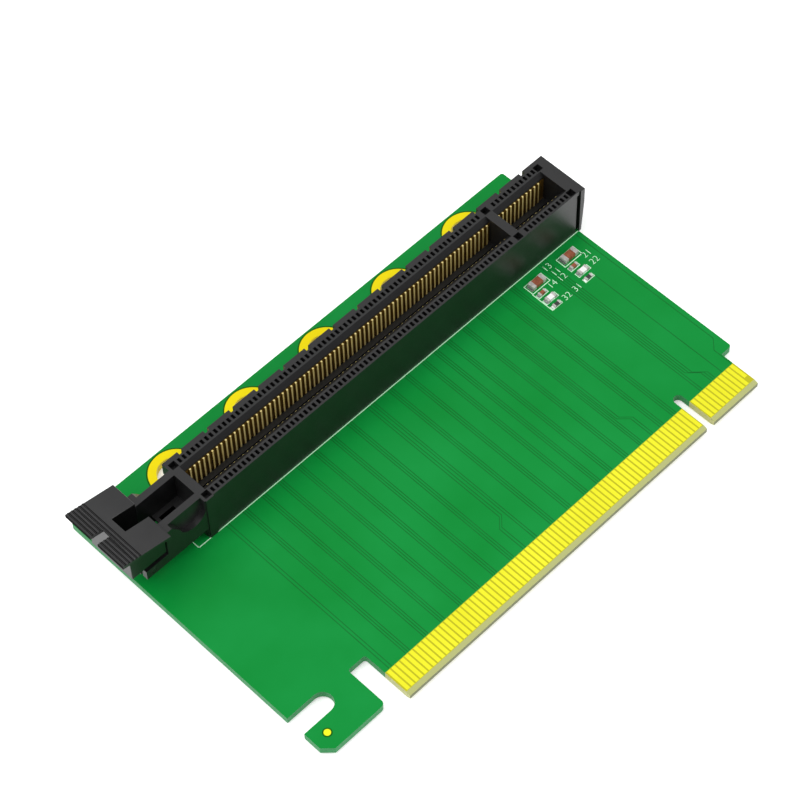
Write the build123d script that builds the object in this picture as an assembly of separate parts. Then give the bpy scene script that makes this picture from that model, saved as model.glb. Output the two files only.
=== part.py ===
from build123d import *
import math
import os

# Expansion card that carries one long slot and its retention latch.
# Millimetres. X runs along the card edge, towards the short tongue.
# Y runs from the card edge to the slot. Z is up, zero at the component face.
# The origin is the middle of the key notch at the card edge.

# Circuit board
board_thickness = 1.57
board_back = 63.2
shoulder_width = 2.55
board_corner_round = 0.5

# Edge tongues and the key notch between them. The margin is from the last finger's middle
notch_width = 1.9
notch_depth = 8.25
tongue_margin = 0.65
shoulder_height = 8.3
bevel_length = 0.8
bevel_depth = 0.3

# Slot beside the long tongue and the hook outside it
hook_slot_width = 3.85
hook_width = 12.8
hook_slot_top = 10.3
hook_foot_y = 1.75
hook_foot_chamfer = 1.75
hook_inner_round = 0.8
fixing_slot_y = 9.02
fixing_slot_width = 3.9
fixing_slot_depth = 7.85

# Plated fingers, and the thickness of all the gold on the faces
finger_pitch = 1.0
finger_width = 0.7
finger_start = 0.95
finger_end = 5.6
finger_thickness = 0.04
fingers_beside_notch = 1.5
short_tongue_fingers = 11
long_tongue_fingers = 71
short_finger_start = 2.2

# Ring pads with their plated holes
ring_count = 5
ring_pitch = 17.65
first_ring_x = -69.96
ring_y = 57.98
ring_radius = 4.7
ring_hole_radius = 3.25
plating_thickness = 0.05

# Flat gold alignment dot on the hook
dot_from_left = 2.77
dot_y = 4.66
dot_radius = 0.6

# Slot housing
slot_middle_y = 49.25
housing_width = 9.7
housing_height = 11.25
left_end_wall = 1.7
right_end_wall = 2.7
rim_width = 1.74
lead_in = 0.82
card_slot_width = 1.9
card_slot_floor = 2.6
underside_relief = 0.2
ledge_height = 4.8
left_card_gap = 0.75
right_card_gap = 0.85
key_width = 1.7

# Blocks and ribs on the outside of the housing
end_block_length = 1.0
end_block_proud = 0.25
end_block_taper_height = 3.5
end_block_taper = 0.5
end_groove_width = 0.7
end_groove_depth = 0.5
end_groove_top = 10.25
corner_rib_inset = 0.2
corner_rib_length = 1.75
corner_rib_proud = 0.2
back_rib_proud = 0.65
back_rib_bottom = 8.4
back_notch_pitch = 5.8
back_notch_width = 0.9
back_notch_from_end = 5.3
back_notch_count = 15

# Small blind holes in the rims
rim_hole_length = 0.95
rim_hole_width = 0.55
rim_hole_depth = 1.2
rim_hole_offset = 3.98
square_hole_size = 1.35
square_hole_depth = 1.6
left_square_hole_inset = 1.2
right_square_hole_inset = 2.45

# Contacts, in two rows of tails on each side
contact_width = 0.42
contact_thickness = 0.25
contact_top = 10.0
tail_row_gap = 1.3
tail_bend_height = 1.25
tail_recess_height = 2.0
tail_clearance = 0.03

# Solder joints under the board
solder_length = 0.85
solder_tip = 0.4
solder_height = 0.75

# Fork at the left end of the housing, which carries the latch. Reaches are from that end
arm_inner_width = 4.97
arm_length = 7.2
fork_bottom = 2.8
fork_end_thickness = 1.4
rail_length = 4.9
rail_top = 5.1
rail_thickness = 1.1
scoop_start_height = 8.6
scoop_low_reach = 2.2
scoop_low_z = 6.6
scoop_high_reach = 5.6
scoop_high_z = 9.1
pocket_ledge_width = 0.9
pocket_ledge_height = 5.0
pocket_window_length = 3.4
pocket_window_width = 0.6

# Latch. The pivot's reach is from the fork's end, the other reaches are from the pivot
pivot_reach = 3.3
pivot_z = 3.95
pin_radius = 0.6
pin_clearance = 0.05
leg_clearance = 0.3
leg_thickness = 1.6
leg_length = 3.6
leg_bottom = 2.95
latch_width = 9.9
latch_back_reach = 2.9
latch_front_reach = 4.5
latch_body_bottom = 6.45
pad_width = 14.0
pad_back_z = 13.65
pad_tip_reach = 7.1
pad_tip_z = 15.9
pad_thickness = 0.75
thumb_slot_width = 3.35
thumb_slot_length = 4.9
tip_notch_width = 1.75
ridge_start_reach = 3.3
ridge_count = 5
ridge_height = 0.22
ridge_width = 0.38

# Small parts on the board: outline length along X, width along Y and height
chip_large = (3.2, 1.5, 0.95)
chip_small = (1.55, 0.75, 0.6)
chip_lamp = (2.0, 1.1, 0.6)
chip_resistor = (1.55, 0.75, 0.45)
terminal_large = 0.75
terminal_small = 0.35
terminal_lamp = 0.45
body_inset = 0.05
fillet_length = 0.3
large_spots = ((9.25, 41.5), (1.0, 41.5))
small_spots = ((8.2, 39.4), (0.05, 39.35))
lamp_spots = ((8.65, 37.6), (0.35, 37.6))
resistor_spots = ((8.25, 35.9), (0.1, 35.9))

# Values that follow from the sizes above
short_tongue_end = fingers_beside_notch + (short_tongue_fingers - 1) * finger_pitch + tongue_margin
long_tongue_end = -fingers_beside_notch - (long_tongue_fingers - 1) * finger_pitch - tongue_margin
board_right = short_tongue_end + shoulder_width
hook_inner_x = long_tongue_end - hook_slot_width
board_left = hook_inner_x - hook_width
dot_x = board_left + dot_from_left
board_bottom = -board_thickness
cavity_left = long_tongue_end - left_card_gap
cavity_right = short_tongue_end + right_card_gap
housing_left = cavity_left - left_end_wall
housing_right = cavity_right + right_end_wall
corner_rib_left = housing_left + corner_rib_inset
corner_rib_right = corner_rib_left + corner_rib_length
last_back_notch_x = housing_right - back_notch_from_end
left_square_hole_x = housing_left + left_square_hole_inset
right_square_hole_x = housing_right - right_square_hole_inset
arm_end = housing_left - arm_length
fork_outer_end = arm_end - fork_end_thickness
rail_end = fork_outer_end - rail_length
scoop_low_x = housing_left - scoop_low_reach
scoop_high_x = housing_left - scoop_high_reach
pivot_x = fork_outer_end - pivot_reach
latch_back = pivot_x + latch_back_reach
latch_front = pivot_x - latch_front_reach
pad_tip_x = pivot_x - pad_tip_reach
ridge_start_x = pivot_x - ridge_start_reach
housing_front = slot_middle_y - housing_width / 2
housing_rear = slot_middle_y + housing_width / 2
inner_front = housing_front + rim_width + lead_in
inner_rear = housing_rear - rim_width - lead_in
inner_tail_offset = slot_middle_y - inner_front - contact_thickness / 2
outer_tail_offset = inner_tail_offset + tail_row_gap
key_half = key_width / 2
arm_inner_half = arm_inner_width / 2
arm_outer_y = housing_front + rail_thickness
arm_inner_y = slot_middle_y - arm_inner_half
hole_radius = pin_radius + pin_clearance
pad_slope = (pad_tip_z - pad_back_z) / (latch_back - pad_tip_x)
tiny = 0.01
cut_margin = 1.0


def block(x0, x1, y0, y1, z0, z1):
    """A box between two values on each axis, given in either order."""
    size = Box(abs(x1 - x0), abs(y1 - y0), abs(z1 - z0))
    return Pos((x0 + x1) / 2, (y0 + y1) / 2, (z0 + z1) / 2) * size


def along_x(points, x0, x1):
    """A prism along X over a closed outline of (y, z) points."""
    outline = make_face(Plane.YZ * Polyline(*points, close=True))
    return Pos(x0, 0, 0) * extrude(outline, amount=x1 - x0, dir=(1, 0, 0))


def along_y(points, y0, y1):
    """A prism along Y over a closed outline of (x, z) points."""
    corners = [(x, 0, z) for x, z in points]
    outline = make_face(Polyline(*corners, close=True))
    return Pos(0, y0, 0) * extrude(outline, amount=y1 - y0, dir=(0, 1, 0))


def upright(radius, x, y, z0, z1):
    """A cylinder along Z."""
    return Pos(x, y, (z0 + z1) / 2) * Cylinder(radius, z1 - z0)


def crosswise(radius, x, z, y0, y1):
    """A cylinder along Y."""
    turned = Rot(90, 0, 0) * Cylinder(radius, y1 - y0)
    return Pos(x, (y0 + y1) / 2, z) * turned


def mirrored(shape):
    """The same shape on the other side of the slot's middle plane."""
    plane = Plane.XZ.offset(-slot_middle_y)
    return mirror(shape, about=plane)


def edges_at(solid, axis, spots):
    """Edges along an axis whose middle lies on one of the (x, y) spots."""
    chosen = []
    for edge in solid.edges().filter_by(axis):
        middle = edge.center()
        for x, y in spots:
            if abs(middle.X - x) < tiny and abs(middle.Y - y) < tiny:
                chosen.append(edge)
    return chosen


def tongue_positions():
    """X of every finger on the two tongues."""
    short_run = [fingers_beside_notch + i * finger_pitch for i in range(short_tongue_fingers)]
    long_run = [-fingers_beside_notch - i * finger_pitch for i in range(long_tongue_fingers)]
    return long_run[::-1] + short_run


def tail_spots(outer):
    """(x, y) of the tails in the outer or the inner rows."""
    offset = outer_tail_offset if outer else inner_tail_offset
    start = 0 if outer else 1
    columns = tongue_positions()[start::2]
    return [(x, slot_middle_y + side * offset) for side in (-1, 1) for x in columns]


def edge_bevels():
    """The two wedges that leave the card edge bevelled."""
    upper = [
        (-tiny, tiny),
        (bevel_length, tiny),
        (bevel_length, 0),
        (0, -bevel_depth),
        (-tiny, -bevel_depth),
    ]
    lower = [(y, board_bottom - z) for y, z in upper]
    ends = (long_tongue_end - tiny, short_tongue_end + tiny)
    return [along_x(upper, *ends), along_x(lower, *ends)]


def key_notch():
    """Slot with a full round end between the tongues."""
    half = notch_width / 2
    centre = notch_depth - half
    straight = block(-half, half, -cut_margin, centre, board_bottom - tiny, tiny)
    return straight + upright(half, 0, centre, board_bottom - tiny, tiny)


def fixing_slot():
    """Slot in the hook, open to the left, with a round end."""
    half = fixing_slot_width / 2
    centre = board_left + fixing_slot_depth - half
    low = fixing_slot_y - half
    high = fixing_slot_y + half
    straight = block(board_left - cut_margin, centre, low, high, board_bottom - tiny, tiny)
    return straight + upright(half, centre, fixing_slot_y, board_bottom - tiny, tiny)


def hook_foot_corner():
    """Chamfered outer corner of the hook's foot."""
    left = board_left - tiny
    right = board_left + hook_foot_chamfer
    low = hook_foot_y - tiny
    high = hook_foot_y + hook_foot_chamfer
    corner = make_face(Polyline((left, low), (right, low), (left, high), close=True))
    return Pos(0, 0, board_bottom - tiny) * extrude(corner, board_thickness + 2 * tiny)


def ring_positions():
    """X of the ring pads."""
    return [first_ring_x + i * ring_pitch for i in range(ring_count)]


def circuit_board():
    """The laminate with its tongues, hook, slots and ring holes."""
    low = board_bottom - tiny
    board = block(board_left, board_right, 0, board_back, board_bottom, 0)
    board -= block(short_tongue_end, board_right + cut_margin, -cut_margin, shoulder_height, low, tiny)
    board -= block(hook_inner_x, long_tongue_end, -cut_margin, hook_slot_top, low, tiny)
    board -= block(board_left - cut_margin, hook_inner_x, -cut_margin, hook_foot_y, low, tiny)
    board -= hook_foot_corner()
    board = fillet(edges_at(board, Axis.Z, [(hook_inner_x, hook_foot_y)]), hook_inner_round)
    soft = [(board_right, shoulder_height), (board_left, board_back), (board_right, board_back)]
    soft += [(hook_inner_x, hook_slot_top), (long_tongue_end, hook_slot_top)]
    board = fillet(edges_at(board, Axis.Z, soft), board_corner_round)
    board -= key_notch()
    board -= fixing_slot()
    board -= edge_bevels()
    board -= [upright(ring_hole_radius, x, ring_y, low, tiny) for x in ring_positions()]
    return board


def fingers(face, outward):
    """Plated fingers on one face of the tongues."""
    half = finger_width / 2
    top = face + outward * finger_thickness
    pads = []
    for x in tongue_positions():
        last = x > short_tongue_end - finger_pitch
        start = short_finger_start if last else finger_start
        pads.append(block(x - half, x + half, start, finger_end, face, top))
    return pads


def ring_pad(x):
    """Two flat rings joined by a thin barrel through the board."""
    bore = ring_hole_radius - plating_thickness
    bottom = board_bottom - plating_thickness
    flanges = upright(ring_radius, x, ring_y, 0, plating_thickness)
    flanges += upright(ring_radius, x, ring_y, bottom, board_bottom)
    barrel = flanges + upright(ring_hole_radius, x, ring_y, board_bottom, 0)
    return barrel - upright(bore, x, ring_y, bottom - tiny, plating_thickness + tiny)


def ring_pads():
    """The row of five large plated holes behind the slot."""
    return [ring_pad(x) for x in ring_positions()]


def alignment_dot():
    """Flat gold dot on the hook's component face."""
    return upright(dot_radius, dot_x, dot_y, 0, finger_thickness)


def rim_holes():
    """Rows of small blind holes in both rims."""
    columns = [x + math.copysign(finger_pitch / 2, x) for x in tongue_positions()]
    low = housing_height - rim_hole_depth
    holes = []
    for side in (-1, 1):
        y = slot_middle_y + side * rim_hole_offset
        for x in columns:
            across = rim_hole_width / 2
            deep = rim_hole_length / 2
            holes.append(block(x - across, x + across, y - deep, y + deep, low, housing_height + tiny))
    return holes


def square_holes():
    """Larger blind holes at the ends and over the key."""
    low = housing_height - square_hole_depth
    half = square_hole_size / 2
    holes = []
    for side in (-1, 1):
        y = slot_middle_y + side * rim_hole_offset
        for x in (left_square_hole_x, 0, right_square_hole_x):
            holes.append(block(x - half, x + half, y - half, y + half, low, housing_height + tiny))
    return holes


def card_cavity(x0, x1):
    """Open space for a card: wide between the contacts, narrow at the floor."""
    half_card = card_slot_width / 2
    over = housing_height + tiny
    right = [
        (inner_rear + lead_in + tiny, over),
        (inner_rear, housing_height - lead_in),
        (inner_rear, ledge_height),
        (slot_middle_y + half_card, ledge_height),
        (slot_middle_y + half_card, card_slot_floor),
    ]
    left = [(2 * slot_middle_y - y, z) for y, z in right[::-1]]
    return along_x(right + left, x0, x1)


def tail_channels(x0, x1):
    """Channels under one cavity in which the contact tails stand."""
    bend_y = slot_middle_y - outer_tail_offset - contact_thickness
    behind = inner_front + contact_thickness + tail_clearance
    straight = block(x0, x1, inner_front, behind, -tiny, ledge_height + tiny)
    recess = block(x0, x1, bend_y, inner_front + tiny, -tiny, tail_recess_height)
    near = straight + recess
    return near + mirrored(near)


def outside_ribs():
    """End block, corner ribs and the row of blocks along the back."""
    front = housing_front - end_block_proud
    rear = housing_rear + end_block_proud
    left = housing_right - end_block_length
    ribs = block(left, housing_right, front, rear, 0, housing_height)
    near = block(corner_rib_left, corner_rib_right, housing_front - corner_rib_proud,
                 housing_front + corner_rib_proud, 0, housing_height)
    ribs += near + mirrored(near)
    proud = housing_rear + back_rib_proud
    ribs += block(housing_left, housing_right, housing_rear - tiny, proud, back_rib_bottom, housing_height)
    return ribs


def back_notches():
    """Gaps between the blocks along the back."""
    half = back_notch_width / 2
    proud = housing_rear + back_rib_proud + tiny
    notches = []
    for i in range(back_notch_count):
        x = last_back_notch_x - i * back_notch_pitch
        notches.append(block(x - half, x + half, housing_rear, proud, 0, housing_height + tiny))
    return notches


def end_grooves():
    """Upright grooves between the end block and the long walls."""
    right = housing_right - end_block_length
    left = right - end_groove_width
    front = housing_front - tiny
    near = block(left, right, front, housing_front + end_groove_depth, -tiny, end_groove_top)
    return near + mirrored(near)


def end_taper():
    """Sloping lower part of the end face."""
    low = housing_right - end_block_taper
    start = housing_height - end_block_taper_height
    points = [(housing_right + tiny, start), (housing_right + tiny, -tiny), (low, -tiny)]
    return along_y(points, housing_front - cut_margin, housing_rear + cut_margin)


def fork_side():
    """Near side of the fork: a thin tall arm and a low outer plate with a rail."""
    arm = block(arm_end, housing_left + tiny, arm_outer_y, arm_inner_y, fork_bottom, housing_height)
    start = (housing_left + tiny, scoop_start_height)
    low_point = (scoop_low_x, scoop_low_z)
    high_point = (scoop_high_x, scoop_high_z)
    top_point = (arm_end, housing_height)
    scoop = ThreePointArc(*[(x, 0, z) for x, z in (start, low_point, high_point)])
    rest = Polyline(*[(x, 0, z) for x, z in (
        high_point, top_point, (fork_outer_end, housing_height), (fork_outer_end, rail_top),
        (rail_end, rail_top), (rail_end, fork_bottom), (housing_left + tiny, fork_bottom), start)])
    face = make_face([scoop, rest])
    plate = Pos(0, housing_front, 0) * extrude(face, amount=rail_thickness + tiny, dir=(0, 1, 0))
    bridge = block(fork_outer_end, arm_end + tiny, housing_front, arm_inner_y, rail_top, housing_height)
    hole = crosswise(hole_radius, pivot_x, pivot_z, housing_front - cut_margin, arm_inner_y)
    return arm + plate + bridge - hole


def fork():
    """Both sides of the fork and the low ledge inside its pocket."""
    near = fork_side()
    ledge = block(arm_end, housing_left + tiny, arm_inner_y - tiny, arm_inner_y + pocket_ledge_width,
                  fork_bottom, pocket_ledge_height)
    middle = (arm_end + housing_left) / 2
    half = pocket_window_length / 2
    window_y = arm_inner_y + pocket_ledge_width / 2
    window = block(middle - half, middle + half, window_y - pocket_window_width / 2,
                   window_y + pocket_window_width / 2, fork_bottom - tiny, pocket_ledge_height + tiny)
    return near + mirrored(near) + (ledge - window)


def slot_housing():
    """The one-piece moulding: contact walls, key, end blocks and fork."""
    body = block(housing_left, housing_right, housing_front, housing_rear, 0, housing_height)
    body += outside_ribs()
    body -= back_notches()
    body -= end_grooves()
    body -= end_taper()
    body -= card_cavity(cavity_left, -key_half)
    body -= card_cavity(key_half, cavity_right)
    margin = contact_width / 2 + tail_clearance
    columns = tongue_positions()
    body -= tail_channels(columns[0] - margin, -fingers_beside_notch + margin)
    body -= tail_channels(fingers_beside_notch - margin, columns[-1] + margin)
    body -= block(cavity_left, cavity_right, housing_front - cut_margin, housing_rear + cut_margin,
                  -tiny, underside_relief)
    body -= rim_holes()
    body -= square_holes()
    return body + fork()


def inner_contact(x, side):
    """Straight contact with its tail directly below."""
    half = contact_width / 2
    wall = slot_middle_y + side * (slot_middle_y - inner_front)
    face = wall - side * contact_thickness
    return block(x - half, x + half, wall, face, 0, contact_top)


def outer_contact(x, side):
    """Contact whose tail bends outwards under the wall."""
    half = contact_width / 2
    wall = slot_middle_y - inner_front
    face = wall - contact_thickness
    tail_in = outer_tail_offset - contact_thickness / 2
    tail_out = outer_tail_offset + contact_thickness / 2
    under = tail_bend_height - contact_thickness
    profile = [
        (wall, contact_top),
        (face, contact_top),
        (face, under),
        (tail_in, under),
        (tail_in, 0),
        (tail_out, 0),
        (tail_out, tail_bend_height),
        (wall, tail_bend_height),
    ]
    points = [(slot_middle_y + side * y, z) for y, z in profile]
    return along_x(points, x - half, x + half)


def contacts(outer, side):
    """One row of contacts."""
    make = outer_contact if outer else inner_contact
    start = 0 if outer else 1
    return [make(x, side) for x in tongue_positions()[start::2]]


def solder_joints(outer):
    """Four-sided cones of solder under the tails of two rows."""
    low_margin = (solder_length - solder_tip) / 2
    high_margin = solder_length - low_margin
    cone = Wedge(solder_length, solder_height, solder_length,
                 low_margin, low_margin, high_margin, high_margin)
    turned = Rot(-90, 0, 0) * cone
    middle_z = board_bottom - solder_height / 2
    return [Pos(x, y, middle_z) * turned for x, y in tail_spots(outer)]


def latch_top(x):
    """Height of the pad's sloping top at x."""
    return pad_back_z + (latch_back - x) * pad_slope


def pad_outline():
    """Side view of the thumb pad with its ridges, as (x, z) points."""
    pitch = (ridge_start_x - pad_tip_x) / ridge_count
    top = [(latch_back, latch_top(latch_back))]
    for i in range(ridge_count):
        x = ridge_start_x - i * pitch
        top.append((x, latch_top(x)))
        top.append((x - ridge_width / 2, latch_top(x) + ridge_height))
        top.append((x - ridge_width, latch_top(x - ridge_width)))
    top.append((pad_tip_x, latch_top(pad_tip_x)))
    bottom = [(pad_tip_x, latch_top(pad_tip_x) - pad_thickness)]
    bottom.append((latch_back, latch_top(latch_back) - pad_thickness))
    return top + bottom


def latch_body():
    """Block under the pads, with the two legs that go between the rails."""
    half = latch_width / 2
    low_y = slot_middle_y - half
    high_y = slot_middle_y + half
    under = pad_thickness / 2
    outline = [
        (latch_back, latch_top(latch_back) - under),
        (latch_front, latch_top(latch_front) - under),
        (latch_front, latch_body_bottom),
        (latch_back, latch_body_bottom),
    ]
    body = along_y(outline, low_y, high_y)
    outer = arm_outer_y + leg_clearance
    half_leg = leg_length / 2
    leg = block(pivot_x - half_leg, pivot_x + half_leg, outer, outer + leg_thickness,
                leg_bottom, latch_body_bottom + tiny)
    pin = crosswise(pin_radius, pivot_x, pivot_z, housing_front + tiny, outer + tiny)
    near = leg + pin
    return body + near + mirrored(near)


def retention_latch():
    """One moulding: pads, body, legs and pivot pins."""
    half = pad_width / 2
    pads = along_y(pad_outline(), slot_middle_y - half, slot_middle_y + half)
    latch = pads + latch_body()
    slot_half = thumb_slot_width / 2
    slot_end = latch_back - thumb_slot_length
    latch -= block(slot_end, latch_back + cut_margin, slot_middle_y - slot_half, slot_middle_y + slot_half,
                   leg_bottom - cut_margin, pad_tip_z + cut_margin)
    notch_half = tip_notch_width / 2
    latch -= block(pad_tip_x - cut_margin, latch_front, slot_middle_y - notch_half,
                   slot_middle_y + notch_half, latch_body_bottom - cut_margin, pad_tip_z + cut_margin)
    return latch


def chip_bodies(spots, size, terminal):
    """Bodies of one kind of small part, between the terminals."""
    length, width, height = size
    half_x = length / 2 - terminal
    half_y = width / 2 - body_inset
    top = height - body_inset
    return [block(x - half_x, x + half_x, y - half_y, y + half_y, body_inset, top) for x, y in spots]


def chip_terminals(spots, size, terminal):
    """End caps of one kind of small part."""
    length, width, height = size
    half_y = width / 2
    caps = []
    for x, y in spots:
        for side in (-1, 1):
            outer = x + side * length / 2
            inner = outer - side * terminal
            caps.append(block(outer, inner, y - half_y, y + half_y, 0, height))
    return caps


def solder_fillet(x, y, size, side):
    """Sloping solder against one end cap."""
    length, width, height = size
    edge = x + side * length / 2
    points = [(edge, 0), (edge + side * fillet_length, 0), (edge, height / 2)]
    return along_y(points, y - width / 2, y + width / 2)


def chip_fillets():
    """Solder at the ends of all the small parts."""
    kinds = (
        (large_spots, chip_large),
        (small_spots, chip_small),
        (lamp_spots, chip_lamp),
        (resistor_spots, chip_resistor),
    )
    return [solder_fillet(x, y, size, side) for spots, size in kinds for x, y in spots for side in (-1, 1)]


def save(name, shape):
    """Write one part, or one group of separate pieces, to its own file."""
    piece = Compound(children=list(shape)) if isinstance(shape, list) else shape
    export_step(piece, f"parts/{name}.step")


os.makedirs("parts", exist_ok=True)
save("circuit_board", circuit_board())
save("component_side_fingers", fingers(0, 1))
save("solder_side_fingers", fingers(board_bottom, -1))
save("ring_pads", ring_pads())
save("alignment_dot", alignment_dot())
save("slot_housing", slot_housing())
save("near_outer_contacts", contacts(True, -1))
save("near_inner_contacts", contacts(False, -1))
save("far_inner_contacts", contacts(False, 1))
save("far_outer_contacts", contacts(True, 1))
save("outer_solder_joints", solder_joints(True))
save("inner_solder_joints", solder_joints(False))
save("retention_latch", retention_latch())
save("large_capacitor_bodies", chip_bodies(large_spots, chip_large, terminal_large))
save("large_capacitor_terminals", chip_terminals(large_spots, chip_large, terminal_large))
save("small_capacitor_bodies", chip_bodies(small_spots, chip_small, terminal_small))
save("small_capacitor_terminals", chip_terminals(small_spots, chip_small, terminal_small))
save("lamp_bodies", chip_bodies(lamp_spots, chip_lamp, terminal_lamp))
save("lamp_terminals", chip_terminals(lamp_spots, chip_lamp, terminal_lamp))
save("resistor_bodies", chip_bodies(resistor_spots, chip_resistor, terminal_small))
save("resistor_terminals", chip_terminals(resistor_spots, chip_resistor, terminal_small))
save("chip_solder_fillets", chip_fillets())
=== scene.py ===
"""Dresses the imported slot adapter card: finishes, print, copper tracks and solder."""

import logging
import math
from dataclasses import dataclass
from enum import Enum

import bpy
from mathutils import Matrix, Vector


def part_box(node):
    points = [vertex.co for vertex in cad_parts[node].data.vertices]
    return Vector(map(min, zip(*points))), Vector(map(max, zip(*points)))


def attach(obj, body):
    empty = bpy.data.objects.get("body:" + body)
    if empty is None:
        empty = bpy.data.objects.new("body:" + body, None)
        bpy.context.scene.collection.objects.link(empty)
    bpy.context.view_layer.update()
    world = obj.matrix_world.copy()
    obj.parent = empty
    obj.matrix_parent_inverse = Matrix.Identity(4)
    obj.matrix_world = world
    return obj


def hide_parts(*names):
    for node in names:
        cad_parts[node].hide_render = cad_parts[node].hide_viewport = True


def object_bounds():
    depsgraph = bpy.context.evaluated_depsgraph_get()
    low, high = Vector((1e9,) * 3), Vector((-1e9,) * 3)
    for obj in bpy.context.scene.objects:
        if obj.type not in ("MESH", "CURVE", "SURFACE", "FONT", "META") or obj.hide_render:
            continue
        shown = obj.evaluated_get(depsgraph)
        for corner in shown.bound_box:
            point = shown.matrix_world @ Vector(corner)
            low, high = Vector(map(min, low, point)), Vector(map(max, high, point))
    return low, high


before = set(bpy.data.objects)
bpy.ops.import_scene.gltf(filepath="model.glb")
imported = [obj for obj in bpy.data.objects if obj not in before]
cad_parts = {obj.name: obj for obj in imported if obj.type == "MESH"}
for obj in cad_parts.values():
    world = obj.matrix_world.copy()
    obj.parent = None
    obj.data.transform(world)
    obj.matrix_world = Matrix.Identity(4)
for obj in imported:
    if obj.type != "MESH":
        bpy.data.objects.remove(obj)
CAD_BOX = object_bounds()

MM = 0.001
FINE_DEPTH = 0.00001
NOISE_LOW = 0.3
NOISE_HIGH = 0.7
MOTTLE_DETAIL = 4.0
GRAIN_DETAIL = 2.0
LOG = logging.getLogger("adapter_card")

Point = tuple[float, float]
Span = tuple[float, float]
Triple = tuple[float, float, float]
Colour = tuple[float, float, float]
Box = tuple[float, float, float, float]


class Side(Enum):
    """The two faces of the board, by the way that each looks along Z."""

    COMPONENT = 1
    SOLDER = -1


def linear(red: int, green: int, blue: int) -> Colour:
    """Turns a screen colour into the linear values that a shader takes.

    Args:
        red: screen red, 0 to 255.
        green: screen green, 0 to 255.
        blue: screen blue, 0 to 255.

    Returns:
        The three linear values.
    """

    def one(value: int) -> float:
        """One channel."""
        share = value / 255
        return share / 12.92 if share <= 0.04045 else ((share + 0.055) / 1.055) ** 2.4

    return one(red), one(green), one(blue)


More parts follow.
